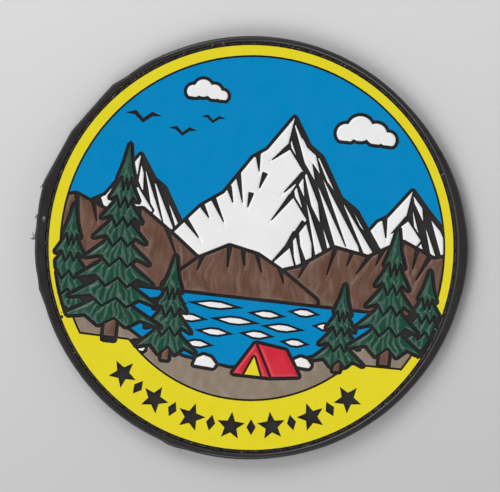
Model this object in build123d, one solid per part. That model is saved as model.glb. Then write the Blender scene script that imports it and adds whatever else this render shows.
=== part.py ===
from build123d import *
from math import ceil, cos, degrees, hypot, pi, radians, sin
import os

# Round moulded soft-PVC patch with a sewn-on hook-tape back, in millimetres.
# The origin is the centre of the back, on the plane of the hook tips.
# +X is the right of the picture, +Y its top, and +Z points out of the picture.

# Outline of the moulded body and its tape
RIM_RADIUS = 49.55
EAR_REACH = 1.2             # the rim is fuller on the right, by this much
EAR_HALF_ANGLE = 27.5
EAR_ANGLE = 8.5
EAR_BLEND = 25.0            # radius where it flows into the round
# Corners of the straight scissor cuts on the left: angle, and reach past the round rim
TRIM_CORNERS = ((128.0, -0.30), (137.0, 0.65), (153.5, 0.60), (168.5, 1.20), (183.0, 1.05),
                (197.5, 0.95), (204.5, -0.30))

# Thicknesses and heights, from the hook tips up
HOOK_HEIGHT = 1.1
TAPE_THICKNESS = 0.5
BODY_THICKNESS = 1.6        # black compound under the lines of the picture
RIM_RISE = 0.85
RIM_BEVEL = 0.4
SEAM_GROOVE_DEPTH = 0.25

# Widths across the edge, from the rim inwards
RIM_WIDTH = 1.25            # where the rim is round
SEAM_GROOVE_WIDTH = 0.9
BORDER_WIDTH = 2.2          # mean width of the yellow border
FIELD_SHIFT = (0.3, -0.1)   # the picture sits a little to the right in its border
FIELD_LINE = 0.45
OVERLAP_EDGE = 1.15         # trees that overlap the border keep this far from its outer edge
OVERLAP_SHIFT = (0.5, 0)    # but reach further over it on the right

# Widths of the black lines and strokes
OUTLINE = 0.8               # round each figure
INNER_LINE = 0.5            # inside a figure
SNOW_CUT = 1.4              # at the mouth of a cut in the snow
HILL_CUT = 1.3              # at the mouth of a furrow in a hill
POINT = 0.12                # where a stroke runs out
CORNER_FACET = 1.15         # length of a facet on a round stretch of a line

# Widths of the thin coloured strokes
NEAR_RAY = 1.5              # light on the dark side of a peak, near its source
FAR_RAY = 2.3
GLINT = 1.2                 # light on the water
SMALLEST_ISLAND = 0.5       # mm2, less than this can't be poured

# Rise of each poured colour above the lines
YELLOW_RISE = 0.70
BLUE_RISE = 0.50
WHITE_RISE = 0.75
BROWN_RISE = 0.80
GREEN_RISE = 0.70
TAUPE_RISE = 0.60
RED_RISE = 0.85
SKIRT_STEP = 0.05           # each skirt of branches over the next one down

# Yellow panel along the bottom, with a row of stars and lozenges sunk in it
PANEL_HEIGHT = 11.4
PANEL_END_RISE = 9.2
PANEL_OUTER_HALF_ANGLE = 57.0
PANEL_INNER_HALF_ANGLE = 46.5
STAR_COUNT = 7
STAR_PITCH = 9.55
STAR_RADIUS = 3.4
STAR_INNER_RADIUS = 1.5
LOZENGE_WIDTH = 2.2
LOZENGE_HEIGHT = 3.8
STAR_EDGE_GAP = 1.9         # from the outer edge of the border

# Sewn seam
THREAD_THICKNESS = 0.36
STITCH_PITCH = 3.13
STITCH_GAP = 0.55

# Hook tape
HOOK_ROW_PITCH = 2.8
HOOK_ROW_WIDTH = 1.2
HOOK_ROW_MARGIN = 1.1       # bare tape inside the seam

# Wear: a nick in the border on the left
NICK_ANGLE = 206.6
NICK_WIDTH = 0.7
NICK_DEPTH = 0.5

# Heights and radii that follow from the sizes above
tape_bottom = HOOK_HEIGHT
tape_top = tape_bottom + TAPE_THICKNESS
line_floor = tape_top + BODY_THICKNESS
rim_top = line_floor + RIM_RISE
groove_outer = RIM_RADIUS - RIM_WIDTH
border_radius = groove_outer - SEAM_GROOVE_WIDTH
seam_radius = groove_outer - SEAM_GROOVE_WIDTH / 2
groove_floor = line_floor - SEAM_GROOVE_DEPTH
field_radius = border_radius - BORDER_WIDTH
panel_inner = border_radius - PANEL_HEIGHT

# The figures of the picture are drawn in hundredths of its radius, right of its middle
# and up from the top of the yellow panel, so that they keep their places in it.
drawing_unit = field_radius / 100

# Conifers: middle, foot, height and width, in hundredths
TREES = ((-68, 24, 102, 52), (-93, 31, 61, 35), (-38, 17, 54, 31),
         (75, 27, 71, 39), (51, 21, 45, 27), (94, 32, 46, 28))
SKIRT_PITCH = 14.5          # height of one skirt of branches, in hundredths

# Glints on the water: middle, height and length, in hundredths
GLINTS = ((-41, 47, 15), (-15, 48, 19), (12, 46, 13), (31, 49, 11), (-28, 40, 13), (-4, 41, 17),
          (21, 40, 15), (-37, 33, 11), (-14, 34, 13), (8, 35, 12), (-22, 27, 11), (28, 33, 10),
          (43, 43, 9))

# Boulders and clouds: middle, height and size; birds: middle, height and span; all in hundredths
BOULDERS = ((-17, 18, 5.6), (33, 23, 4.8), (-53, 22, 4.3))
CLOUDS = ((52, 143, 6.5), (-32, 156, 4.5))
BIRDS = ((-63, 140, 19), (-42, 135, 15), (-27, 143, 13))
TENT_FOOT = (8, 14)
HILL_FOOT = 54              # the far shore


def polar(radius, angle):
    return (radius * cos(radians(angle)), radius * sin(radians(angle)))


def outline_of(points):
    return Polygon(*points, align=None)


def disc(radius, centre=(0, 0)):
    return Pos(*centre) * Circle(radius)


def bar(start, end, start_width, end_width):
    """Flat stroke from start to end, with its own width at each end."""
    length = hypot(end[0] - start[0], end[1] - start[1])
    ux, uy = (end[0] - start[0]) / length, (end[1] - start[1]) / length
    a, b = start_width / 2, end_width / 2
    return outline_of([
        (start[0] - uy * a, start[1] + ux * a),
        (start[0] + uy * a, start[1] - ux * a),
        (end[0] + uy * b, end[1] - ux * b),
        (end[0] - uy * b, end[1] + ux * b),
    ])


def pool(faces):
    """One sketch of all the faces."""
    total = None
    for face in faces:
        total = face if total is None else total + face
    return total


def faceted(face):
    """The outer shape of a face with its round corners cut as short facets."""
    points = []
    for edge in face.outer_wire().order_edges():
        steps = ceil(edge.length / CORNER_FACET) if edge.geom_type == GeomType.CIRCLE else 1
        points += [edge.position_at(step / steps) for step in range(steps)]
    return outline_of([(point.X, point.Y) for point in points])


def grown(face, amount):
    """The shape with a line of even width round it."""
    rings = [offset(part, amount=amount, kind=Kind.ARC) for part in face.faces()]
    return pool([faceted(part) for ring in rings for part in ring.faces()])


def mitred(face, amount):
    """The shape grown, or shrunk, with its corners kept sharp."""
    return pool([offset(part, amount=amount, kind=Kind.INTERSECTION) for part in face.faces()])


def minus(face, fronts):
    """What the shapes in front leave of a face, which may be nothing."""
    for front in fronts:
        if not face.faces():
            break
        face = face - front
    return face


def spot(x, y):
    """Place of a point that is drawn in hundredths."""
    return (x * drawing_unit, y * drawing_unit - panel_inner)


def drawn(points):
    return outline_of([spot(x, y) for x, y in points])


# Body, tape and seam

def body_outline():
    full = RIM_RADIUS + EAR_REACH
    ear_offset = (full ** 2 - RIM_RADIUS ** 2) / 2 / (full - RIM_RADIUS * cos(radians(EAR_HALF_ANGLE)))
    ear = disc(full - ear_offset, polar(ear_offset, EAR_ANGLE))
    rim = disc(RIM_RADIUS) + ear
    rim = fillet(rim.vertices(), EAR_BLEND)
    cuts = outline_of([(0, 0)] + [polar(RIM_RADIUS + reach, angle) for angle, reach in TRIM_CORNERS])
    return rim + cuts


def base_body():
    blank = Pos(0, 0, tape_top) * extrude(body_outline(), rim_top - tape_top)
    top_edges = blank.edges().group_by(Axis.Z)[-1]
    blank = chamfer(top_edges, RIM_BEVEL)
    sunk = Plane.XZ * outline_of([
        (0, line_floor),
        (border_radius, line_floor),
        (border_radius, groove_floor),
        (groove_outer, groove_floor),
        (groove_outer, rim_top),
        (0, rim_top),
    ])
    return blank - revolve(sunk, Axis.Z)


def hook_tape():
    ground = Pos(0, 0, tape_bottom) * extrude(body_outline(), TAPE_THICKNESS)
    reach = seam_radius - HOOK_ROW_MARGIN
    count = int(2 * reach / HOOK_ROW_PITCH)
    rows = []
    for index in range(count):
        y = (index - (count - 1) / 2) * HOOK_ROW_PITCH
        edge = abs(y) + HOOK_ROW_WIDTH / 2
        if edge < reach:
            half = (reach ** 2 - edge ** 2) ** 0.5
            rows.append(Pos(0, y, HOOK_HEIGHT / 2) * Box(2 * half, HOOK_ROW_WIDTH, HOOK_HEIGHT))
    return ground + rows


def seam_thread():
    around = 2 * pi * seam_radius
    count = round(around / STITCH_PITCH)
    length = around / count - STITCH_GAP
    half, third = THREAD_THICKNESS / 2, length / 3
    side = Plane.XZ * outline_of([
        (-length / 2, 0),
        (length / 2, 0),
        (third, THREAD_THICKNESS),
        (-third, THREAD_THICKNESS),
    ])
    stitch = Pos(0, seam_radius + half, groove_floor) * extrude(side, THREAD_THICKNESS)
    return Compound(children=[Rot(0, 0, index * 360 / count) * stitch for index in range(count)])


# Yellow border and panel

def field():
    return disc(field_radius, FIELD_SHIFT)


def panel():
    end_radius = panel_inner + PANEL_END_RISE
    far = 2 * border_radius
    wedge = outline_of([
        polar(panel_inner, 270 - PANEL_INNER_HALF_ANGLE),
        polar(end_radius, 270 - PANEL_OUTER_HALF_ANGLE),
        polar(far, 270 - PANEL_OUTER_HALF_ANGLE),
        (0, -2 * far),
        polar(far, 270 + PANEL_OUTER_HALF_ANGLE),
        polar(end_radius, 270 + PANEL_OUTER_HALF_ANGLE),
        polar(panel_inner, 270 + PANEL_INNER_HALF_ANGLE),
        (0, 0),
    ])
    return wedge - disc(panel_inner)


def star():
    radii = (STAR_RADIUS, STAR_INNER_RADIUS)
    return outline_of([polar(radii[index % 2], 90 + index * 36) for index in range(10)])


def lozenge():
    w, h = LOZENGE_WIDTH / 2, LOZENGE_HEIGHT / 2
    return outline_of([(-w, 0), (0, -h), (w, 0), (0, h)])


def signs():
    """Stars with a lozenge between each two, along the panel."""
    radius = border_radius - STAR_EDGE_GAP - STAR_RADIUS
    pitch_angle = degrees(STAR_PITCH / radius)
    row = []
    for index in range(2 * STAR_COUNT - 1):
        turn = (index / 2 - (STAR_COUNT - 1) / 2) * pitch_angle
        sign = star() if index % 2 == 0 else lozenge()
        row.append(Rot(0, 0, turn) * Pos(0, -radius) * sign)
    return row


def border():
    """Yellow ring and panel, with the nick and the sunk signs."""
    ring = disc(border_radius) - (field() - panel())
    nick = Rot(0, 0, NICK_ANGLE) * Pos(border_radius, 0) * Rectangle(2 * NICK_DEPTH, NICK_WIDTH)
    face = ring - nick
    for sign in signs():
        face -= sign
    return face


# Snow peaks

def dart(x, y, angle, length, width):
    """Cut that starts wide and runs out to a point."""
    end = spot(x + length * cos(radians(angle)), y + length * sin(radians(angle)))
    return bar(spot(x, y), end, width, POINT)


def ray(source, angle, near, far, width):
    """Long stroke of light from near to far, pointed at both ends."""
    shoulder = near + (far - near) * 0.7
    half = degrees(width / (near + far) / drawing_unit)
    corners = ((near, 0), (shoulder, -half), (far, 0), (shoulder, half))
    return drawn([(source[0] + radius * cos(radians(angle + turn)),
                   source[1] + radius * sin(radians(angle + turn))) for radius, turn in corners])


def peak(left_slope, summit, right_slope, ridge, source, rays, fan, splits, cuts):
    """Lit face with its cuts, rays on the dark face, and the silhouette of one mountain."""
    silhouette = drawn(list(left_slope) + [summit] + list(right_slope))
    lit = drawn(list(left_slope) + [summit] + list(ridge))
    for x, y, angle, length in cuts:
        lit -= dart(x, y, angle, length, SNOW_CUT)
    dark = drawn([summit] + list(right_slope) + list(reversed(ridge)))
    strokes = []
    for index in range(rays):
        angle = fan[0] + (fan[1] - fan[0]) * index / (rays - 1)
        split = splits[index % len(splits)]
        strokes.append(ray(source, angle, split - 35, split - 1.3, NEAR_RAY))
        strokes.append(ray(source, angle + 0.4, split + 1.3, split + 58, FAR_RAY))
    return lit + (pool(strokes) & mitred(dark, -INNER_LINE)), silhouette


def main_peak():
    return peak(
        left_slope=((-56, 65), (-28, 98), (-17, 106), (-4, 126), (3, 131)),
        summit=(15, 149),
        right_slope=((24, 135), (31, 130), (43, 110), (52, 104), (80, 65)),
        ridge=((13, 134), (23, 121), (17, 110), (27, 97), (19, 84), (26, 65)),
        source=(0, 177), rays=10, fan=(-80, -51), splits=(65, 80, 56, 74, 89, 67),
        cuts=((18, 109, 237, 19), (23, 121, 230, 17), (14, 134, 224, 13), (20, 84, 232, 19),
              (21, 115, 245, 8), (22, 90, 240, 11), (26, 96, 236, 13), (-11, 117, 285, 17),
              (-2, 129, 280, 11), (-23, 104, 300, 17), (-36, 91, 312, 15), (-15, 110, 290, 10),
              (-28, 99, 305, 9), (-3, 108, 262, 9), (3, 119, 255, 10)),
    )


def left_peak():
    return peak(
        left_slope=((-113, 65), (-87, 93), (-78, 98), (-71, 108)),
        summit=(-62, 121),
        right_slope=((-54, 109), (-48, 105), (-24, 65)),
        ridge=((-63, 106), (-53, 93), (-58, 82), (-52, 65)),
        source=(-74, 156), rays=6, fan=(-78, -60), splits=(48, 58, 43),
        cuts=((-57, 82, 235, 15), (-62, 106, 230, 11), (-82, 97, 300, 15), (-71, 109, 285, 11)),
    )


def right_peak():
    return peak(
        left_slope=((39, 65), (64, 100), (69, 103)),
        summit=(80, 118),
        right_slope=((89, 108), (113, 84), (113, 65)),
        ridge=((78, 104), (87, 93), (80, 82), (87, 65)),
        source=(67, 156), rays=6, fan=(-74, -50), splits=(48, 58, 43),
        cuts=((81, 82, 235, 15), (79, 104, 230, 13), (67, 103, 280, 13), (57, 92, 300, 11)),
    )


# Clouds and birds

def cloud(x, y, size):
    """Puffs in a row over a flat base."""
    puffs = pool([disc(size * reach * drawing_unit, spot(x + size * dx, y + size * dy)) for dx, dy, reach in
                  ((-1.5, 0.15, 0.75), (-0.4, 0.65, 1.0), (0.9, 0.35, 0.85), (1.9, 0, 0.6))])
    base, low = y - size * 0.45, y - size * 2
    left, right = x - size * 3, x + size * 3
    return puffs - drawn([(left, low), (right, low), (right, base), (left, base)])


def bird(x, y, span):
    """Two curved wings, drawn in black."""
    wings = []
    for side in (-1, 1):
        wings.append(drawn([
            (x, y), (x + side * span * 0.22, y + span * 0.20), (x + side * span * 0.5, y + span * 0.10),
            (x + side * span * 0.24, y + span * 0.07), (x, y - span * 0.13),
        ]))
    return pool(wings)


# Hills, water and shore

def hill(skyline, furrows):
    """The hill with its furrows, and its silhouette, in heights above the far shore."""
    left, right = skyline[0][0], skyline[-1][0]
    silhouette = drawn([(x, HILL_FOOT + height) for x, height in [(left, 0), *skyline, (right, 0)]])
    fill = silhouette
    for x, height, angle, length in furrows:
        fill -= dart(x, HILL_FOOT + height, angle, length, HILL_CUT)
    return fill, silhouette


def left_hill():
    return hill(
        skyline=((-117, 37), (-93, 43), (-76, 36), (-58, 39), (-39, 26), (-19, 11)),
        furrows=((-93, 45, 280, 19), (-77, 38, 300, 17), (-60, 41, 275, 22), (-45, 32, 295, 19),
                 (-68, 39, 285, 11), (-84, 41, 285, 13)),
    )


def right_hill():
    return hill(
        skyline=((117, 37), (95, 30), (78, 37), (61, 27), (43, 30), (26, 18), (6, 11)),
        furrows=((78, 39, 262, 24), (62, 29, 240, 15), (44, 32, 258, 19), (93, 32, 245, 17),
                 (30, 23, 250, 13), (69, 34, 250, 13), (53, 31, 255, 11), (86, 35, 262, 13)),
    )


def middle_hill():
    return hill(
        skyline=((-43, 2), (-26, 17), (-11, 25), (4, 22), (19, 14), (37, 2)),
        furrows=((-11, 26, 270, 15), (3, 24, 290, 13), (-24, 20, 255, 11), (-4, 25, 280, 11),
                 (16, 17, 290, 10)),
    )


def glint(x, y, length):
    """Stroke of light on the water, pointed at both ends."""
    half, shoulder = length / 2, length * 0.15
    t = GLINT / 2 / drawing_unit
    return drawn([(x - half, y), (x - shoulder, y - t), (x + shoulder, y - t),
                  (x + half, y), (x + shoulder, y + t), (x - shoulder, y + t)])


def shore():
    return drawn([
        (-113, 41), (-87, 36), (-67, 35), (-50, 25), (-28, 19), (-4, 16), (17, 19), (37, 26), (56, 34),
        (80, 37), (113, 41), (113, -35), (-113, -35),
    ])


def boulder(x, y, size):
    return drawn([(x + size * dx, y + size * dy) for dx, dy in
                  ((-1, -0.35), (-0.8, 0.3), (-0.2, 0.62), (0.5, 0.45), (1, -0.1), (0.8, -0.45))])


# Conifers

def skirt(x, top, bottom, half_width, droop):
    """One skirt of branches: two slopes over a ragged hem."""
    hem = bottom + droop
    return drawn([
        (x, top),
        (x + half_width * 0.42, bottom + (top - bottom) * 0.42),
        (x + half_width, bottom),
        (x + half_width * 0.58, hem),
        (x + half_width * 0.32, bottom - droop * 0.6),
        (x + half_width * 0.06, hem),
        (x - half_width * 0.24, bottom - droop * 0.8),
        (x - half_width * 0.52, hem),
        (x - half_width, bottom + droop * 0.2),
        (x - half_width * 0.46, bottom + (top - bottom) * 0.46),
    ])


def conifer(x, foot, height, width):
    """Skirts from the top down, each in front of the one below, and the trunk."""
    count = ceil(height / SKIRT_PITCH)
    trunk_height = height * 0.09
    step = (height - trunk_height) / (count + 0.8)
    skirts = []
    for index in range(count):
        top = foot + height - index * step
        share = (index + 1.4) / (count + 0.4)
        skirts.append(skirt(x, top, top - step * 1.8, width / 2 * share, step * 0.26))
    half = width * 0.055
    trunk_top = foot + 2 * trunk_height
    return skirts, drawn([(x - half, foot), (x + half, foot), (x + half, trunk_top), (x - half, trunk_top)])


# Tent

def tent(x, y):
    """Open end and long side of a ridge tent, with its door."""
    end = drawn([(x - 10, y), (x, y + 16.5), (x + 9, y)])
    side = drawn([(x + 0.4, y + 16.5), (x + 16, y + 14.5), (x + 24, y + 2), (x + 9, y)])
    door = drawn([(x - 4, y), (x, y + 9.5), (x + 4, y)])
    return end, side, door


def picture():
    """Every field of colour, drawn from the front of the scene to the back."""
    panel_and_line = grown(panel(), FIELD_LINE)
    open_field = disc(field_radius - FIELD_LINE, FIELD_SHIFT) - panel_and_line
    overlap_disc = disc(border_radius - OVERLAP_EDGE, OVERLAP_SHIFT)
    over_border = overlap_disc - panel_and_line
    fills = {"white": [], "brown": [], "green": [], "taupe": [], "red": [], "yellow": [], "blue": []}
    covered = []

    def place(colour, face, silhouette=None, line=OUTLINE, lift=0, within=open_field):
        visible = minus(face & within, covered)
        fills[colour] += [(part, lift) for part in visible.faces() if part.area > SMALLEST_ISLAND]
        if line:
            covered.append(grown(silhouette if silhouette else face, line))

    end, side, door = tent(*TENT_FOOT)
    place("yellow", door, line=INNER_LINE)
    place("red", end, line=INNER_LINE)
    place("red", side, silhouette=pool([end, side]))
    for tree in TREES:
        skirts, trunk = conifer(*tree)
        above = None
        for index, branches in enumerate(skirts):
            fill = branches if above is None else branches - mitred(above, INNER_LINE)
            place("green", fill, line=0, lift=(len(skirts) - index) * SKIRT_STEP, within=over_border)
            above = branches if above is None else above + branches
        place("brown", trunk - grown(above, INNER_LINE), line=0)
        covered.append(grown((above + trunk) & overlap_disc, OUTLINE))
    place("yellow", border(), line=0, within=disc(border_radius))
    for stone in BOULDERS:
        place("white", boulder(*stone))
    place("taupe", shore())
    for stroke in GLINTS:
        place("white", glint(*stroke), line=0)
        covered.append(mitred(glint(*stroke), INNER_LINE))
    for fill, silhouette in (middle_hill(), left_hill(), right_hill()):
        place("brown", fill, silhouette=silhouette)
    for fill, silhouette in (main_peak(), left_peak(), right_peak()):
        place("white", fill, silhouette=silhouette)
    for puffs in CLOUDS:
        place("white", cloud(*puffs))
    for wings in BIRDS:
        covered.append(bird(*wings))
    place("blue", open_field, line=0)
    return fills


def poured(fields, rise):
    """Fields of one colour, standing on the floor of the lines."""
    up = (0, 0, 1)
    return Compound(children=[Pos(0, 0, line_floor) * extrude(face, rise + lift, dir=up)
                              for face, lift in fields])


def build():
    fills = picture()
    return {
        "base_body": base_body(),
        "hook_tape": hook_tape(),
        "seam_thread": seam_thread(),
        "yellow_fill": poured(fills["yellow"], YELLOW_RISE),
        "blue_fill": poured(fills["blue"], BLUE_RISE),
        "white_fill": poured(fills["white"], WHITE_RISE),
        "brown_fill": poured(fills["brown"], BROWN_RISE),
        "green_fill": poured(fills["green"], GREEN_RISE),
        "taupe_fill": poured(fills["taupe"], TAUPE_RISE),
        "red_fill": poured(fills["red"], RED_RISE),
    }


os.makedirs("parts", exist_ok=True)
for name, shape in build().items():
    export_step(shape, f"parts/{name}.step")
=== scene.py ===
import math
import random

import bpy
import bmesh
from mathutils import Matrix, Vector, kdtree, noise


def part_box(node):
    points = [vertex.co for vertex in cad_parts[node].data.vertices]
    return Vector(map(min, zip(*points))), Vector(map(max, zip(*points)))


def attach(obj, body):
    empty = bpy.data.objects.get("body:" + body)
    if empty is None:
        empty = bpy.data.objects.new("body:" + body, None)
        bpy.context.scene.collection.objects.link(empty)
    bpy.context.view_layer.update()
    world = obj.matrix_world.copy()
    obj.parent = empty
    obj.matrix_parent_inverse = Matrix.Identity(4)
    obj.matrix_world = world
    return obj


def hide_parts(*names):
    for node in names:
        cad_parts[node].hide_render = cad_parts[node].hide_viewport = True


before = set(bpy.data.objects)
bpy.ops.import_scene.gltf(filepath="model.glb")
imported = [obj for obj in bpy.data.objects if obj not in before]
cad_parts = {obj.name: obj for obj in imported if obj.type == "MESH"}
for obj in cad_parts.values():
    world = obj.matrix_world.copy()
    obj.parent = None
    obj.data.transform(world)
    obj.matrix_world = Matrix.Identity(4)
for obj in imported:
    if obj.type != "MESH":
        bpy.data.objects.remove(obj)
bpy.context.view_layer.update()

# A round moulded soft-PVC patch with a hook-tape back, laid flat with its picture up.
# Pieces are shaped in millimetres, on the axes of the CAD model, and settled in metres.
MM = 0.001

# Blender starts its noise vectors from the clock unless they have a seed
noise.seed_set(5)

# Heights, in millimetres, from the frame
hook_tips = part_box("hook_tape")[0].z / MM
tape_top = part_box("hook_tape")[1].z / MM
line_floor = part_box("blue_fill")[0].z / MM
rim_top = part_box("base_body")[1].z / MM
groove_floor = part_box("seam_thread")[0].z / MM
thread_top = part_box("seam_thread")[1].z / MM
thread_thickness = thread_top - groove_floor
seam_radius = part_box("seam_thread")[1].x / MM - thread_thickness / 2
yellow_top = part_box("yellow_fill")[1].z / MM

# Rim, in millimetres
GROOVE_WIDTH = 0.9
INNER_SHOULDER = 0.5
SHOULDER_HEIGHT = 0.6       # of the inner shoulder, as a share of a full round
OUTER_SHOULDER = 0.25
EDGE_ROUNDING = 0.12

# All bearings are in degrees round from +X.
# Between these two the rim was cut by hand, and nothing of its outer shoulder is left
TRIMMED = (122.0, 262.0)

# Where the scissors strayed: from, to, how deep the cut wanders in, how far a burr stands out,
# and how long the waves of the cut are
ROUGH_STRETCHES = ((126.0, 207.0, 0.16, 0.0, 1.1), (251.5, 257.5, 0.6, 0.38, 0.6))
ROUGH_CUTS = 11

# How far the real trim stands outside the solid, or inside it: bearing and millimetres
FULLNESS = ((0, 0.1), (6, 0.06), (16, -0.18), (24, -0.05), (36, 0.25), (50, 0), (114, 0),
            (127, 0.15), (137, -0.1), (152, 0), (160, 0.1), (166, 0.08), (173, 0.48), (178, 0.4),
            (182, 0.1), (190, 0.55), (198, 0.14), (203, 0.58), (222, 0.42), (232, 0.45),
            (262, 0.22), (284, 0.05), (305, 0.24), (322, 0.4), (340, 0.65), (352, 0.15), (360, 0.1))

# Tape and hooks
TAPE_THICKNESS = 0.5
HOOK_PITCH = 1.3
HOOK_WIRE_RADIUS = 0.11
HOOK_CROOK_RADIUS = 0.22
HOOK_CURL = 200             # degrees that the wire turns at its tip
HOOK_ROOT_DEPTH = 0.05      # how far the wire goes into the tape
HOOK_BARE_EDGE = 1.1        # between the seam and the hooks

# Seam
STITCH_PITCH = 3.13
STITCH_GAP = 0.5
STITCH_DIP = 0.25           # how far a stitch's ends go into the material
STITCH_HEIGHT = 0.16        # middle of the thread over the groove's floor
STRAND_RADIUS = 0.105
STRAND_TURNS = 2.5
STRAND_STEPS = 14
PLY_OFFSET = 0.9            # of the strand's radius: the two plies are pressed together

# Tolerances, in millimetres
LEVEL = 0.01                # between two heights that are one level
DOUBLED = 0.002             # between two points of the CAD mesh that are one
SLIVER = 0.001              # an edge that is shorter than this goes

# Degrees up to which neighbouring faces shade as one surface
CRISP, SOFT = 40, 60


# Small tools

def select_only(piece):
    bpy.ops.object.select_all(action="DESELECT")
    piece.select_set(True)
    bpy.context.view_layer.objects.active = piece


def shaped(piece, kind, **settings):
    """Gives the piece a modifier with these settings, and applies it."""
    select_only(piece)
    modifier = piece.modifiers.new(kind, kind)
    for name, value in settings.items():
        setattr(modifier, name, value)
    bpy.ops.object.modifier_apply(modifier=modifier.name)


def choose_edges(piece, test):
    """Starts editing the piece, with the edges selected that pass the test."""
    bpy.ops.object.mode_set(mode="EDIT")
    bpy.ops.mesh.select_mode(type="EDGE")
    bpy.ops.mesh.select_all(action="DESELECT")
    form = bmesh.from_edit_mesh(piece.data)
    for edge in form.edges:
        if test(edge):
            edge.select_set(True)
    form.select_flush_mode()
    bmesh.update_edit_mesh(piece.data)


def edit_all():
    """Starts editing the active piece, with all of it selected."""
    bpy.ops.object.mode_set(mode="EDIT")
    bpy.ops.mesh.select_all(action="SELECT")


def done_editing():
    bpy.ops.object.mode_set(mode="OBJECT")


def at(radius, degrees, height):
    """The point at this radius, bearing and height."""
    turn = math.radians(degrees)
    return Vector((radius * math.cos(turn), radius * math.sin(turn), height))


def joined(pieces, name):
    """All the pieces as one."""
    bpy.ops.object.select_all(action="DESELECT")
    for piece in pieces:
        piece.select_set(True)
    bpy.context.view_layer.objects.active = pieces[0]
    bpy.ops.object.join()
    bpy.context.object.name = name
    return bpy.context.object


def copy_of(node, name):
    """A copy of a CAD node in millimetres, with doubled points merged and flat faces whole."""
    piece = bpy.data.objects.new(name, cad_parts[node].data.copy())
    bpy.context.scene.collection.objects.link(piece)
    piece.data.materials.clear()
    piece.data.transform(Matrix.Scale(1 / MM, 4))
    select_only(piece)
    if piece.data.has_custom_normals:
        bpy.ops.mesh.customdata_custom_splitnormals_clear()
    edit_all()
    bpy.ops.mesh.remove_doubles(threshold=DOUBLED)
    bpy.ops.mesh.dissolve_limited(angle_limit=math.radians(0.5))
    done_editing()
    return piece


def settled(piece, material, smooth_angle, stands_for=(), flat_faces=False):
    """The finished piece, in metres, with its finish, riding on the patch."""
    piece.data.transform(Matrix.Scale(MM, 4))
    piece.data.materials.clear()
    piece.data.materials.append(material)
    select_only(piece)
    bpy.ops.object.shade_smooth_by_angle(angle=math.radians(smooth_angle))
    if flat_faces:
        shaped(piece, "WEIGHTED_NORMAL", keep_sharp=True)
    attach(piece, "root")
    if stands_for:
        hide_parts(*stands_for)
    return piece


# Materials

def linear(hex_colour):
    """The sRGB hex colour as linear red, green, blue and alpha."""
    shares = [int(hex_colour[start:start + 2], 16) / 255 for start in (0, 2, 4)]
    return [s / 12.92 if s <= 0.04045 else ((s + 0.055) / 1.055) ** 2.4 for s in shares] + [1.0]


def per(size):
    """Scale of a texture whose grain is this many millimetres."""
    return 1 / (size * MM)


def add(tree, kind, values=None, links=None, **settings):
    """One node, with its input values, the outputs that feed it, and its settings."""
    node = tree.nodes.new("ShaderNode" + kind)
    for name, value in settings.items():
        setattr(node, name, value)
    for name, value in (values or {}).items():
        node.inputs[name].default_value = value
    for name, output in (links or {}).items():
        tree.links.new(output, node.inputs[name])
    return node


def new_material(name, roughness, **sockets):
    material = bpy.data.materials.new(name)
    material.use_nodes = True
    shader = material.node_tree.nodes["Principled BSDF"]
    shader.inputs["Roughness"].default_value = roughness
    for socket, value in sockets.items():
        shader.inputs[socket.replace("_", " ")].default_value = value
    return material, material.node_tree, shader


# Sizes in millimetres. The grain is drawn coarser than the real one, so that it shows
PVC_CLOUDING = 5.0
MOULD_GRAIN = 0.28


def soft_pvc(name, colour, shade, roughness=0.34, gloss=0.5):
    """Soft PVC poured in a steel mould and baked: an even colour with a slight clouding, a fine
    grain from the mould, and a satin skin that is rubbed a little duller here and there."""
    material, tree, shader = new_material(name, roughness, Specular_IOR_Level=gloss)
    place = add(tree, "TexCoord").outputs["Object"]
    clouds = add(tree, "TexNoise", {"Scale": per(PVC_CLOUDING), "Detail": 3.0}, {"Vector": place})
    specks = add(tree, "TexNoise", {"Scale": per(MOULD_GRAIN), "Detail": 2.0}, {"Vector": place})
    mixed = add(tree, "Math", {1: 0.4}, {0: clouds.outputs["Fac"]}, operation="MULTIPLY")
    both = add(tree, "Math", {1: 0.6}, {0: specks.outputs["Fac"], 2: mixed.outputs[0]},
               operation="MULTIPLY_ADD")
    spread = add(tree, "MapRange", {"From Min": 0.3, "From Max": 0.7}, {"Value": both.outputs[0]})
    tint = add(tree, "MixRGB", {"Color1": linear(shade), "Color2": linear(colour)},
               {"Fac": spread.outputs[0]})
    rubbed = add(tree, "MapRange", {"From Min": 0.35, "From Max": 0.65, "To Min": roughness - 0.03,
                                    "To Max": roughness + 0.04}, {"Value": clouds.outputs["Fac"]})
    bump = add(tree, "Bump", {"Strength": 0.3, "Distance": 0.02 * MM},
               {"Height": specks.outputs["Fac"]})
    tree.links.new(tint.outputs[0], shader.inputs["Base Color"])
    tree.links.new(rubbed.outputs[0], shader.inputs["Roughness"])
    tree.links.new(bump.outputs[0], shader.inputs["Normal"])
    return material


# Spacing of the threads, in millimetres, and of a wave texture's bands at a scale of 1
WARP_SPACING = 0.5
WEFT_SPACING = 0.4
WAVE_BANDS = math.tau / 20


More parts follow.
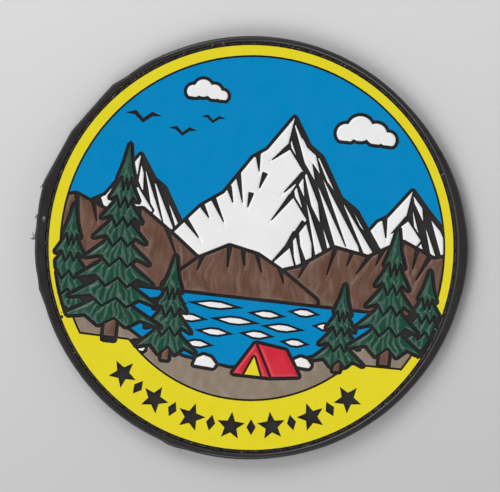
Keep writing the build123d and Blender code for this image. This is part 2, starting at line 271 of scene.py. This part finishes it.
def nylon_tape():
    """Woven black nylon: fine threads that cross over and under, with a soft sheen."""
    material, tree, shader = new_material("woven_nylon", 0.6, Sheen_Weight=0.3)
    place = add(tree, "TexCoord").outputs["Object"]
    warp = add(tree, "TexWave",
               {"Scale": per(WARP_SPACING) * WAVE_BANDS, "Distortion": 0.6, "Detail": 1.0},
               {"Vector": place}, bands_direction="X")
    weft = add(tree, "TexWave",
               {"Scale": per(WEFT_SPACING) * WAVE_BANDS, "Distortion": 0.6, "Detail": 1.0},
               {"Vector": place}, bands_direction="Y")
    cross = add(tree, "Math", {}, {0: warp.outputs["Fac"], 1: weft.outputs["Fac"]},
                operation="MULTIPLY")
    tint = add(tree, "MixRGB", {"Color1": linear("0c0c0d"), "Color2": linear("26262a")},
               {"Fac": cross.outputs[0]})
    bump = add(tree, "Bump", {"Strength": 0.8, "Distance": 0.1 * MM},
               {"Height": cross.outputs[0]})
    tree.links.new(tint.outputs[0], shader.inputs["Base Color"])
    tree.links.new(bump.outputs[0], shader.inputs["Normal"])
    return material


def nylon_wire():
    """Drawn nylon monofilament, cut and heat-set into hooks: smooth and slightly glossy."""
    material, tree, shader = new_material("nylon_monofilament", 0.35)
    place = add(tree, "TexCoord").outputs["Object"]
    drift = add(tree, "TexNoise", {"Scale": per(2.5), "Detail": 2.0}, {"Vector": place})
    tint = add(tree, "MixRGB", {"Color1": linear("101011"), "Color2": linear("2b2b2e")},
               {"Fac": drift.outputs["Fac"]})
    tree.links.new(tint.outputs[0], shader.inputs["Base Color"])
    return material


def polyester_thread():
    """Spun black polyester: two plies with a soft sheen, and paler flecks in its colour that are
    partly loose fibres and partly painted highlight, the light that such fibres catch. The fibres
    are drawn coarser than real ones, so that they show."""
    material, tree, shader = new_material("polyester_thread", 0.55, Sheen_Weight=0.4)
    place = add(tree, "TexCoord").outputs["Object"]
    fibres = add(tree, "TexNoise", {"Scale": per(0.12), "Detail": 3.0}, {"Vector": place})
    # painted highlight: the paler end of this mix stands partly for light caught by loose fibres,
    # partly for their own paler tone
    tint = add(tree, "MixRGB", {"Color1": linear("242223"), "Color2": linear("5a5553")},
               {"Fac": fibres.outputs["Fac"]})
    bump = add(tree, "Bump", {"Strength": 0.5, "Distance": 0.03 * MM},
               {"Height": fibres.outputs["Fac"]})
    tree.links.new(tint.outputs[0], shader.inputs["Base Color"])
    tree.links.new(bump.outputs[0], shader.inputs["Normal"])
    return material


def cotton_lint():
    """Household lint: pale cotton fibres, matt and slightly uneven in colour."""
    material, tree, shader = new_material("cotton_lint", 0.8, Sheen_Weight=0.2)
    place = add(tree, "TexCoord").outputs["Object"]
    drift = add(tree, "TexNoise", {"Scale": per(1.5), "Detail": 1.0}, {"Vector": place})
    spread = add(tree, "MapRange", {"From Min": 0.35, "From Max": 0.65},
                 {"Value": drift.outputs["Fac"]})
    tint = add(tree, "MixRGB", {"Color1": linear("656361"), "Color2": linear("d0cdc9")},
               {"Fac": spread.outputs[0]})
    tree.links.new(tint.outputs[0], shader.inputs["Base Color"])
    return material


# Body

def bearing(point):
    """Angle round from +X, in degrees."""
    return math.degrees(math.atan2(point.y, point.x)) % 360


def reach(point):
    """Distance from the axis of the patch."""
    return math.hypot(point.x, point.y)


def on_rough_stretch(point):
    return any(start < bearing(point) < end for start, end, _, _, _ in ROUGH_STRETCHES)


def stray(point):
    """How far the cut strays outwards at this point, in millimetres."""
    for start, end, depth, burr, wave in ROUGH_STRETCHES:
        if start < bearing(point) < end:
            along = (bearing(point) - start) / (end - start)
            inwards = depth * abs(noise.noise(point / wave))
            return burr * math.sin(math.pi * along) ** 0.5 - inwards
    return 0.0


def fullness(point):
    """How far the trim stands out at this point, in millimetres, eased between known places."""
    for (start, low), (end, high) in zip(FULLNESS, FULLNESS[1:]):
        if start <= bearing(point) <= end:
            along = (bearing(point) - start) / (end - start)
            return low + (high - low) * (0.5 - 0.5 * math.cos(math.pi * along))
    return 0.0


def outwards(point):
    """Direction from the axis of the patch to the point."""
    return Vector((point.x, point.y, 0)).normalized()


def moulded_body(material):
    """The black body: rounded shoulders on its rim, and a rough scissor cut on the left."""
    piece = copy_of("base_body", "moulded_body")
    groove_outer = seam_radius + GROOVE_WIDTH / 2
    outside = groove_outer + INNER_SHOULDER
    shoulder_foot = rim_top - INNER_SHOULDER - LEVEL
    near = 0.1

    def on_top(point):
        return abs(point.z - rim_top) < LEVEL

    def on_rough_edge(edge):
        ends = [vertex.co for vertex in edge.verts]
        return abs(ends[0].z - ends[1].z) < LEVEL and all(
            reach(point) > outside and on_rough_stretch(point) for point in ends)

    def on_inner_shoulder(edge):
        return all(on_top(v.co) and abs(reach(v.co) - groove_outer) < near for v in edge.verts)

    def on_outer_shoulder(edge):
        return all(on_top(v.co) and reach(v.co) > outside and
                   not TRIMMED[0] < bearing(v.co) < TRIMMED[1] for v in edge.verts)

    choose_edges(piece, on_outer_shoulder)
    bpy.ops.mesh.bevel(offset=OUTER_SHOULDER, segments=3, affect="EDGES")
    choose_edges(piece, on_rough_edge)
    bpy.ops.mesh.subdivide(number_cuts=ROUGH_CUTS)
    choose_edges(piece, on_inner_shoulder)
    bpy.ops.mesh.bevel(offset=INNER_SHOULDER, segments=4, affect="EDGES")
    done_editing()
    for vertex in piece.data.vertices:
        if reach(vertex.co) > outside + near / 2:
            vertex.co += outwards(vertex.co) * (stray(vertex.co) + fullness(vertex.co))
        elif reach(vertex.co) > groove_outer - near and vertex.co.z > shoulder_foot:
            vertex.co.z = rim_top - (rim_top - vertex.co.z) * SHOULDER_HEIGHT
    shaped(piece, "BEVEL", width=EDGE_ROUNDING, segments=2, limit_method="ANGLE",
           angle_limit=math.radians(35))
    edit_all()
    bpy.ops.mesh.dissolve_degenerate(threshold=SLIVER)
    done_editing()
    return settled(piece, material, CRISP, ["base_body"], flat_faces=True)


# Wear

# The flap's place, and its thickness, length and height
FLAP_REACH, FLAP_BEARING, FLAP_HEIGHT = 50.7, 169.6, 3.35
FLAP_SIZE = (0.48, 1.9, 0.9)
FLAP_CUTS = 5
FLAP_TAPER = 0.5            # share of it that is lost at the tip
FLAP_LEAN = 0.6             # how far the tip leans away from the rim
FLAP_GRAIN, FLAP_ROUGHNESS = 0.5, 0.05      # size and depth of its unevenness

# Crumbs on the border: radius, bearing and size
FLECKS = ((46.6, 199.6, 0.13), (46.75, 202.9, 0.1), (46.9, 205.4, 0.16), (46.55, 206.3, 0.09),
          (45.7, 201.1, 0.07))
FLECK_ROUGHNESS = 0.5       # of a crumb's size
FLECK_FLATNESS = 0.35       # its height, as a share of its breadth

# Tufts: radius, bearing, height, how many fibres, and their length
DARK_TUFTS = ((50.5, 183.7, 3.2, 14, 1.4), (50.5, 178.4, 3.3, 6, 0.9))
PALE_TUFTS = ((48.75, 178.6, 4.09, 22, 0.8), (50.1, 251.4, 3.7, 6, 0.9),
              (50.15, 257.2, 3.7, 6, 0.9))
TUFT_SPREAD = 0.4           # degrees either side over which a tuft's fibres start
TUFT_FAN = 60               # degrees either side over which they fan out
TUFT_RISE = (-0.2, 0.3)     # how steeply they fall or rise

# Lint: from, to, and how many fibres
LINT_STRETCHES = ((66.0, 165.0, 55), (245.0, 320.0, 32), (0.0, 360.0, 30))
LINT_OFFSETS = (-0.38, 0.75)    # from the middle of the seam
LINT_LENGTHS = (0.3, 0.8)
LINT_LIFT = 0.05                # over the thread
LINT_SINK = 0.1                 # under the top of the rim, on its shoulder
LINT_STEPS = 5

# Fibres are drawn thicker than real ones, so that they show
FIBRE_RADIUS = 0.06
LINT_RADIUS = 0.038
FIBRE_STEPS = 9
FIBRE_SEEDS = (0, 99)
FIBRE_SEED_SPACING = 1.7
FIBRE_CURL_SPACING = 0.37
FIBRE_CURL = 0.6            # how far its heading turns at each step
FIBRE_RISE_KEPT = 0.4       # share of its rise that it keeps at each step


def trim_flap(material):
    """A thin tongue of rubber that the scissors left standing at a corner of the cut."""
    bpy.ops.object.select_all(action="DESELECT")
    bpy.ops.mesh.primitive_cube_add(size=1, location=(0, 0, 0))
    flap = bpy.context.object
    flap.name = "trim_flap"
    edit_all()
    bpy.ops.transform.resize(value=FLAP_SIZE)
    bpy.ops.mesh.subdivide(number_cuts=FLAP_CUTS)
    done_editing()
    for vertex in flap.data.vertices:
        x, y, z = vertex.co
        along = y / FLAP_SIZE[1] + 0.5
        vertex.co.x = x * (1 - FLAP_TAPER * along) + FLAP_LEAN * along ** 2
        vertex.co.z = z * (1 - FLAP_TAPER * along ** 2)
        vertex.co += noise.noise_vector(vertex.co / FLAP_GRAIN) * FLAP_ROUGHNESS
    turn = Matrix.Rotation(math.radians(FLAP_BEARING), 4, "Z")
    flap.data.transform(Matrix.Translation(at(FLAP_REACH, FLAP_BEARING, FLAP_HEIGHT)) @ turn)
    shaped(flap, "SUBSURF", levels=1, render_levels=1)
    return settled(flap, material, SOFT)


def flecks(material):
    """Crumbs of the black compound that strayed onto the yellow border at the lower left."""
    crumbs = []
    for radius, degrees, size in FLECKS:
        bpy.ops.object.select_all(action="DESELECT")
        bpy.ops.mesh.primitive_ico_sphere_add(subdivisions=2, radius=size, location=(0, 0, 0))
        crumb = bpy.context.object
        for vertex in crumb.data.vertices:
            place = vertex.co / size + Vector((degrees, 0, 0))
            vertex.co += noise.noise_vector(place) * size * FLECK_ROUGHNESS
            vertex.co.z *= FLECK_FLATNESS
        crumb.data.transform(Matrix.Translation(at(radius, degrees, yellow_top)))
        crumbs.append(crumb)
    return settled(joined(crumbs, "border_flecks"), material, SOFT)


def fibre(start, heading, length, radius, seed, steps=FIBRE_STEPS):
    """One fibre that wanders off from its start, and soon lies flat."""
    bpy.ops.object.select_all(action="DESELECT")
    bpy.ops.mesh.primitive_circle_add(vertices=4, radius=radius, fill_type="NGON",
                                      location=(0, 0, 0))
    piece = bpy.context.object
    turn = heading.to_track_quat("Z", "Y").to_matrix().to_4x4()
    piece.data.transform(Matrix.Translation(start) @ turn)
    edit_all()
    for step in range(steps):
        place = Vector((step * FIBRE_CURL_SPACING, seed * FIBRE_SEED_SPACING, 0))
        heading += noise.noise_vector(place) * FIBRE_CURL
        heading.z *= FIBRE_RISE_KEPT
        heading.normalize()
        bpy.ops.mesh.extrude_region_move(
            TRANSFORM_OT_translate={"value": heading * length / steps})
    bpy.ops.mesh.select_all(action="SELECT")
    bpy.ops.mesh.normals_make_consistent(inside=False)
    done_editing()
    return piece


def tufts(places, radius, seed):
    """Tufts of fibres, each of which curls out from one spot."""
    draws = random.Random(seed)
    pieces = []
    for distance, degrees, height, count, length in places:
        for _ in range(count):
            start = at(distance, degrees + draws.uniform(-TUFT_SPREAD, TUFT_SPREAD), height)
            fan = draws.uniform(-TUFT_FAN, TUFT_FAN)
            heading = at(1, degrees + fan, draws.uniform(*TUFT_RISE))
            pieces.append(fibre(start, heading.normalized(), length * draws.uniform(0.5, 1),
                                radius, draws.uniform(*FIBRE_SEEDS)))
    return pieces


def lint():
    """Short fibres caught in the groove and along its shoulder."""
    draws = random.Random(11)
    pieces = []
    in_groove, on_shoulder = thread_top + LINT_LIFT, rim_top - LINT_SINK
    for start, end, count in LINT_STRETCHES:
        for _ in range(count):
            offset = draws.uniform(*LINT_OFFSETS)
            height = in_groove if offset < GROOVE_WIDTH / 2 else on_shoulder
            place = at(seam_radius + offset, draws.uniform(start, end), height)
            heading = at(1, draws.uniform(0, 360), 0)
            pieces.append(fibre(place, heading, draws.uniform(*LINT_LENGTHS), LINT_RADIUS,
                                draws.uniform(*FIBRE_SEEDS), LINT_STEPS))
    return pieces


# Poured colours

def outline_points(piece, spacing=0.12):
    """A tree of points along the outlines of the tops, in plan."""
    form = bmesh.new()
    form.from_mesh(piece.data)
    places = []
    for edge in form.edges:
        tilts = sorted(face.normal.z for face in edge.link_faces)
        if len(tilts) == 2 and tilts[0] < 0.5 < tilts[1]:
            start, end = (vertex.co for vertex in edge.verts)
            steps = max(1, round((end - start).length / spacing))
            places += [start.lerp(end, step / steps) for step in range(steps)]
    form.free()
    tree = kdtree.KDTree(len(places))
    for index, place in enumerate(places):
        tree.insert((place.x, place.y, 0), index)
    tree.balance()
    return tree


def islands(mesh):
    """For each point of the mesh, the box in plan of the island that it belongs to."""
    owner = list(range(len(mesh.vertices)))

    def root(index):
        while owner[index] != index:
            owner[index] = owner[owner[index]]
            index = owner[index]
        return index

    for edge in mesh.edges:
        a, b = root(edge.vertices[0]), root(edge.vertices[1])
        owner[a] = b
    boxes = {}
    for vertex in mesh.vertices:
        x, y, _ = vertex.co
        box = boxes.setdefault(root(vertex.index), [x, x, y, y])
        box[:] = min(box[0], x), max(box[1], x), min(box[2], y), max(box[3], y)
    return [boxes[root(index)] for index in range(len(mesh.vertices))]


# Breadths and lengths of what is carved, in millimetres, and how far apart its bends are
BOUGH_BREADTH, BOUGH_DRIFT = 2.0, 2.5
SPRAY_BREADTH, SPRAY_LENGTH = 0.42, 1.8
SKIRT_APEX = 0.6            # height of the point that boughs hang from, in heights of the skirt
SPUR_BREADTH, SPUR_LENGTH, SPUR_DRIFT = 3.6, 7.0, 5.0
RILL_BREADTH, RILL_LENGTH = 0.8, 3.0


def boughs(seed):
    """Boughs that hang outwards from above each skirt, with finer sprays on them."""
    def depth(x, y, box):
        middle, apex = (box[0] + box[1]) / 2, box[3] + SKIRT_APEX * (box[3] - box[2])
        across = math.atan2(x - middle, apex - y) * (apex - box[2])
        along = math.hypot(x - middle, apex - y)
        drift = noise.noise((x / BOUGH_DRIFT, y / BOUGH_DRIFT, seed))
        bough = 0.5 - 0.5 * math.cos(2 * math.pi * (across / BOUGH_BREADTH + 0.6 * drift))
        spray = 0.5 + noise.noise((across / SPRAY_BREADTH, along / SPRAY_LENGTH, seed + 5))
        return 0.72 * bough + 0.28 * spray
    return depth


def spurs(seed):
    """Broad spurs that run down a hill, with rills between them."""
    def depth(x, y, box):
        drift = noise.noise((x / SPUR_DRIFT, y / SPUR_DRIFT, seed + 2))
        spur = 0.5 + 1.1 * noise.noise((x / SPUR_BREADTH + drift, y / SPUR_LENGTH, seed))
        rill = 0.5 + noise.noise((x / RILL_BREADTH + 2 * drift, y / RILL_LENGTH, seed + 5))
        return 0.84 * spur + 0.16 * rill
    return depth


def uneven_ground(size, seed):
    """Gentle swells of trodden ground."""
    def depth(x, y, box):
        return 0.5 + 0.8 * noise.noise((x / size, y / size, seed))
    return depth


def crowned(piece, edges, width, drop, relief, depth):
    """Rounds the tops over towards their outlines, and carves the relief.

    The width is how far inside an outline the rounding starts, and drop and depth are the
    shares of the height that the rounding and the relief take."""
    for vertex, box in zip(piece.data.vertices, islands(piece.data)):
        x, y, z = vertex.co
        inward = min(edges.find((x, y, 0))[2] / width, 1.0)
        swell = math.sqrt(1 - (1 - inward) ** 2)
        carved = relief(x, y, box) * swell if relief else 0.0
        vertex.co.z = line_floor + (z - line_floor) * (1 - drop * (1 - swell) - depth * carved)


def poured(node, name, material, voxel, kept_faces, width, drop, relief=None, depth=0.0):
    """One colour of the picture, sculpted and with its edges rounded as it leaves the mould."""
    piece = copy_of(node, name)
    edges = outline_points(piece)
    shaped(piece, "REMESH", mode="VOXEL", voxel_size=voxel, use_smooth_shade=True)
    shaped(piece, "SMOOTH", factor=0.5, iterations=2)
    crowned(piece, edges, width, drop, relief, depth)
    shaped(piece, "DECIMATE", ratio=kept_faces)
    return settled(piece, material, SOFT, [node])


def levelled(node, name, material, rounding):
    """One flat colour of the picture, with its top edges rounded."""
    piece = copy_of(node, name)

    def on_rim_of_top(edge):
        tilts = [face.normal.z for face in edge.link_faces]
        return len(tilts) == 2 and max(tilts) > 0.9 and min(tilts) < 0.5

    choose_edges(piece, on_rim_of_top)
    bpy.ops.mesh.bevel(offset=rounding, segments=2, affect="EDGES", clamp_overlap=True)
    done_editing()
    return settled(piece, material, CRISP, [node], flat_faces=True)


# Seam

def strand(name, length):
    """One twisted two-ply stitch along X."""
    plies = []
    for side in (-1, 1):
        bpy.ops.object.select_all(action="DESELECT")
        place = (-length / 2, side * STRAND_RADIUS * PLY_OFFSET, 0)
        bpy.ops.mesh.primitive_circle_add(vertices=5, radius=STRAND_RADIUS, fill_type="NGON",
                                          location=place, rotation=(0, math.radians(90), 0))
        ply = bpy.context.object
        edit_all()
        for _ in range(STRAND_STEPS):
            bpy.ops.mesh.extrude_region_move(
                TRANSFORM_OT_translate={"value": (length / STRAND_STEPS, 0, 0)})
        done_editing()
        bpy.ops.object.transform_apply(location=True, rotation=True, scale=True)
        plies.append(ply)
    stitch = joined(plies, name)
    shaped(stitch, "SIMPLE_DEFORM", deform_method="TWIST", deform_axis="X",
           angle=math.radians(360 * STRAND_TURNS))
    edit_all()
    bpy.ops.mesh.normals_make_consistent(inside=False)
    done_editing()
    return stitch


def seam(name, height, dip, material, stands_for=()):
    """A ring of stitches at the seam's radius, each arched so that its ends rise by the dip."""
    count = round(2 * math.pi * seam_radius / STITCH_PITCH)
    length = 2 * math.pi * seam_radius / count - STITCH_GAP
    stitch = strand(name, length)
    for vertex in stitch.data.vertices:
        along = 2 * vertex.co.x / length
        vertex.co.z += dip * along ** 4
        vertex.co += Vector((0, seam_radius, height))
    bpy.ops.object.empty_add(location=(0, 0, 0), rotation=(0, 0, 2 * math.pi / count))
    turn = bpy.context.object
    shaped(stitch, "ARRAY", count=count, use_relative_offset=False, use_object_offset=True,
           offset_object=turn)
    bpy.data.objects.remove(turn)
    return settled(stitch, material, SOFT, stands_for)


# Hook tape

def woven_ground(material):
    """The tape without its hooks, cut with the rim."""
    piece = copy_of("hook_tape", "tape_ground")
    edit_all()
    bpy.ops.mesh.bisect(plane_co=(0, 0, tape_top - TAPE_THICKNESS + LEVEL), plane_no=(0, 0, 1),
                        use_fill=True, clear_inner=True)
    done_editing()
    for vertex in piece.data.vertices:
        vertex.co += outwards(vertex.co) * fullness(vertex.co)
    return settled(piece, material, CRISP, ["hook_tape"])


def one_hook(side):
    """A bent end of nylon wire, open towards the side."""
    stem_end = hook_tips + HOOK_WIRE_RADIUS + HOOK_CROOK_RADIUS
    root = tape_top - TAPE_THICKNESS + HOOK_ROOT_DEPTH
    bpy.ops.object.select_all(action="DESELECT")
    bpy.ops.mesh.primitive_circle_add(vertices=3, radius=HOOK_WIRE_RADIUS, fill_type="NGON",
                                      location=(0, 0, root))
    hook = bpy.context.object
    bpy.ops.object.transform_apply(location=True, rotation=True, scale=True)
    edit_all()
    bpy.ops.mesh.extrude_region_move(TRANSFORM_OT_translate={"value": (0, 0, stem_end - root)})
    bpy.ops.mesh.spin(steps=4, angle=math.radians(HOOK_CURL * side),
                      center=(side * HOOK_CROOK_RADIUS, 0, stem_end), axis=(0, 1, 0))
    bpy.ops.mesh.select_all(action="SELECT")
    bpy.ops.mesh.remove_doubles(threshold=SLIVER)
    bpy.ops.mesh.normals_make_consistent(inside=False)
    done_editing()
    return hook


def hooks(material):
    """Rows of hooks inside the seam, each row open the other way from its neighbour."""
    field = seam_radius - HOOK_BARE_EDGE
    count = int(2 * field / HOOK_PITCH)
    rows = []
    for index in range(count):
        y = (index - (count - 1) / 2) * HOOK_PITCH
        half = math.sqrt(field ** 2 - y ** 2)
        in_row = int(2 * half / HOOK_PITCH)
        if in_row < 1:
            continue
        side = 1 if index % 2 else -1
        hook = one_hook(side)
        hook.data.transform(Matrix.Translation((-(in_row - 1) / 2 * HOOK_PITCH, y, 0)))
        shaped(hook, "ARRAY", count=in_row, use_relative_offset=False, use_constant_offset=True,
               constant_offset_displace=(HOOK_PITCH, 0, 0))
        rows.append(hook)
    return settled(joined(rows, "tape_hooks"), material, smooth_angle=50)


# The patch

black = soft_pvc("soft_pvc_black", "292627", "232021", roughness=0.3)
yellow = soft_pvc("soft_pvc_yellow", "e1d321", "dccd1f", roughness=0.28)
blue = soft_pvc("soft_pvc_blue", "0082bb", "0080b8", roughness=0.28, gloss=0.2)
white = soft_pvc("soft_pvc_white", "ebebea", "e2e2e2")
brown = soft_pvc("soft_pvc_brown", "6c4b3a", "573b2e", roughness=0.4)
green = soft_pvc("soft_pvc_green", "144f3b", "0c3b2d", roughness=0.34)
taupe = soft_pvc("soft_pvc_taupe", "8f8071", "7f7062")
red = soft_pvc("soft_pvc_red", "d22339", "c01a30")
thread = polyester_thread()

moulded_body(black)
trim_flap(black)
flecks(black)
settled(joined(tufts(DARK_TUFTS, FIBRE_RADIUS, seed=2), "loose_fibres"),
        thread, SOFT)
settled(joined(tufts(PALE_TUFTS, LINT_RADIUS, seed=3) + lint(), "pale_lint"),
        cotton_lint(), SOFT)
levelled("yellow_fill", "yellow_relief", yellow, rounding=0.15)
levelled("blue_fill", "blue_relief", blue, rounding=0.15)
poured("white_fill", "white_relief", white, voxel=0.14, kept_faces=0.5,
       width=0.5, drop=0.3)
poured("brown_fill", "brown_relief", brown, voxel=0.14, kept_faces=0.6,
       width=1.8, drop=0.45, relief=spurs(seed=3.0), depth=0.6)
poured("green_fill", "green_relief", green, voxel=0.14, kept_faces=0.6,
       width=1.3, drop=0.5, relief=boughs(seed=7.0), depth=0.3)
poured("taupe_fill", "taupe_relief", taupe, voxel=0.14, kept_faces=0.6,
       width=1.2, drop=0.35, relief=uneven_ground(size=2.2, seed=5.0), depth=0.35)
poured("red_fill", "red_relief", red, voxel=0.12, kept_faces=0.6, width=1.0, drop=0.35)
seam("seam_stitches", groove_floor + STITCH_HEIGHT, -STITCH_DIP, thread, ["seam_thread"])
seam("back_stitches", tape_top - TAPE_THICKNESS, STITCH_DIP, thread)
ground = woven_ground(nylon_tape())
hook_field = hooks(nylon_wire())


# Floor, light and camera

FLOOR_SIZE = 3.0
# The floor's painted shade: how its direction is turned, and how far it reaches
FLOOR_SHADE_TURN = -26      # degrees
FLOOR_SHADE_REACH = 0.07    # from the middle to full shade, in metres


def pale_floor():
    """Plain pale board with painted shade: its colour is a little darker towards the bottom of the
    picture.
    """
    material, tree, shader = new_material("pale_board", 0.9, Specular_IOR_Level=0.1)
    place = add(tree, "TexCoord").outputs["Object"]
    turned = add(tree, "Mapping", {"Rotation": (0, 0, math.radians(FLOOR_SHADE_TURN))},
                 {"Vector": place})
    axis = add(tree, "SeparateXYZ", {}, {"Vector": turned.outputs[0]})
    painted_shade_ramp = add(tree, "MapRange", {"From Min": -FLOOR_SHADE_REACH, "From Max": FLOOR_SHADE_REACH},
                {"Value": axis.outputs["Y"]})
    # painted shade: the board's colour runs from darker at the bottom of the picture to paler at
    # the top
    tint = add(tree, "MixRGB", {"Color1": linear("bdbdbd"), "Color2": linear("d6d6d6")},
               {"Fac": painted_shade_ramp.outputs[0]})
    tree.links.new(tint.outputs[0], shader.inputs["Base Color"])
    bpy.ops.object.select_all(action="DESELECT")
    bpy.ops.mesh.primitive_plane_add(size=FLOOR_SIZE, location=(0, 0, 0))
    floor = bpy.context.object
    floor.name = "pale_floor"
    floor.data.materials.append(material)


# Lamps: name, energy, and breadth, bearing and elevation in degrees
LAMPS = (("upper_lamp", 1.40, 40, 126.5, 44), ("lower_lamp", 1.20, 40, 246.5, 50),
         ("left_lamp", 0.36, 20, 186.5, 60))
LAMP_DISTANCE = 0.5

# The dome's light: the heights, as sines, between which it fades, and its strength below and above
DOME_FADE = (0.55, 0.8)
DOME_STRENGTH = (0.68, 0.06)


def studio_light():
    """A pale dome that is dim overhead, with two broad lamps from the upper and the lower left of
    the picture, and a small one between them: the light of a flatbed scanner."""
    world = bpy.data.worlds.new("studio")
    bpy.context.scene.world = world
    world.use_nodes = True
    tree = world.node_tree
    direction = add(tree, "TexCoord").outputs["Generated"]
    axis = add(tree, "SeparateXYZ", {}, {"Vector": direction})
    level = add(tree, "MapRange",
                {"From Min": DOME_FADE[0], "From Max": DOME_FADE[1],
                 "To Min": DOME_STRENGTH[0], "To Max": DOME_STRENGTH[1]},
                {"Value": axis.outputs["Z"]}, interpolation_type="SMOOTHSTEP")
    tree.nodes["Background"].inputs["Color"].default_value = (1, 1, 1, 1)
    tree.links.new(level.outputs[0], tree.nodes["Background"].inputs["Strength"])
    for name, energy, breadth, degrees, elevation in LAMPS:
        lamp = bpy.data.lights.new(name, "SUN")
        lamp.energy = energy
        lamp.angle = math.radians(breadth)
        sun = bpy.data.objects.new(name, lamp)
        bpy.context.scene.collection.objects.link(sun)
        rise = math.radians(elevation)
        towards = at(math.cos(rise), degrees, math.sin(rise))
        sun.rotation_mode = "QUATERNION"
        sun.rotation_quaternion = towards.to_track_quat("Z", "Y")
        sun.location = towards * LAMP_DISTANCE


PHOTO_WIDTH, PHOTO_HEIGHT = 500, 492
PATCH_CENTRE_PX = (251.07, 247.49)
MM_PER_PX = 0.2342
PICTURE_TURN = 6.5          # the patch lies this many degrees clockwise in the photograph
CAMERA_HEIGHT = 0.4


def camera():
    """Straight down, as a flatbed scanner sees the patch."""
    lens = bpy.data.cameras.new("camera")
    lens.type = "ORTHO"
    lens.ortho_scale = PHOTO_WIDTH * MM_PER_PX * MM
    eye = bpy.data.objects.new("camera", lens)
    bpy.context.scene.collection.objects.link(eye)
    right = (PATCH_CENTRE_PX[0] - PHOTO_WIDTH / 2) * MM_PER_PX * MM
    down = (PATCH_CENTRE_PX[1] - PHOTO_HEIGHT / 2) * MM_PER_PX * MM
    turn = Matrix.Rotation(math.radians(PICTURE_TURN), 3, "Z")
    eye.location = turn @ Vector((-right, down, CAMERA_HEIGHT))
    eye.rotation_euler = (0, 0, math.radians(PICTURE_TURN))
    bpy.context.scene.camera = eye


pale_floor()
studio_light()
camera()
bpy.context.scene.view_settings.view_transform = "Standard"
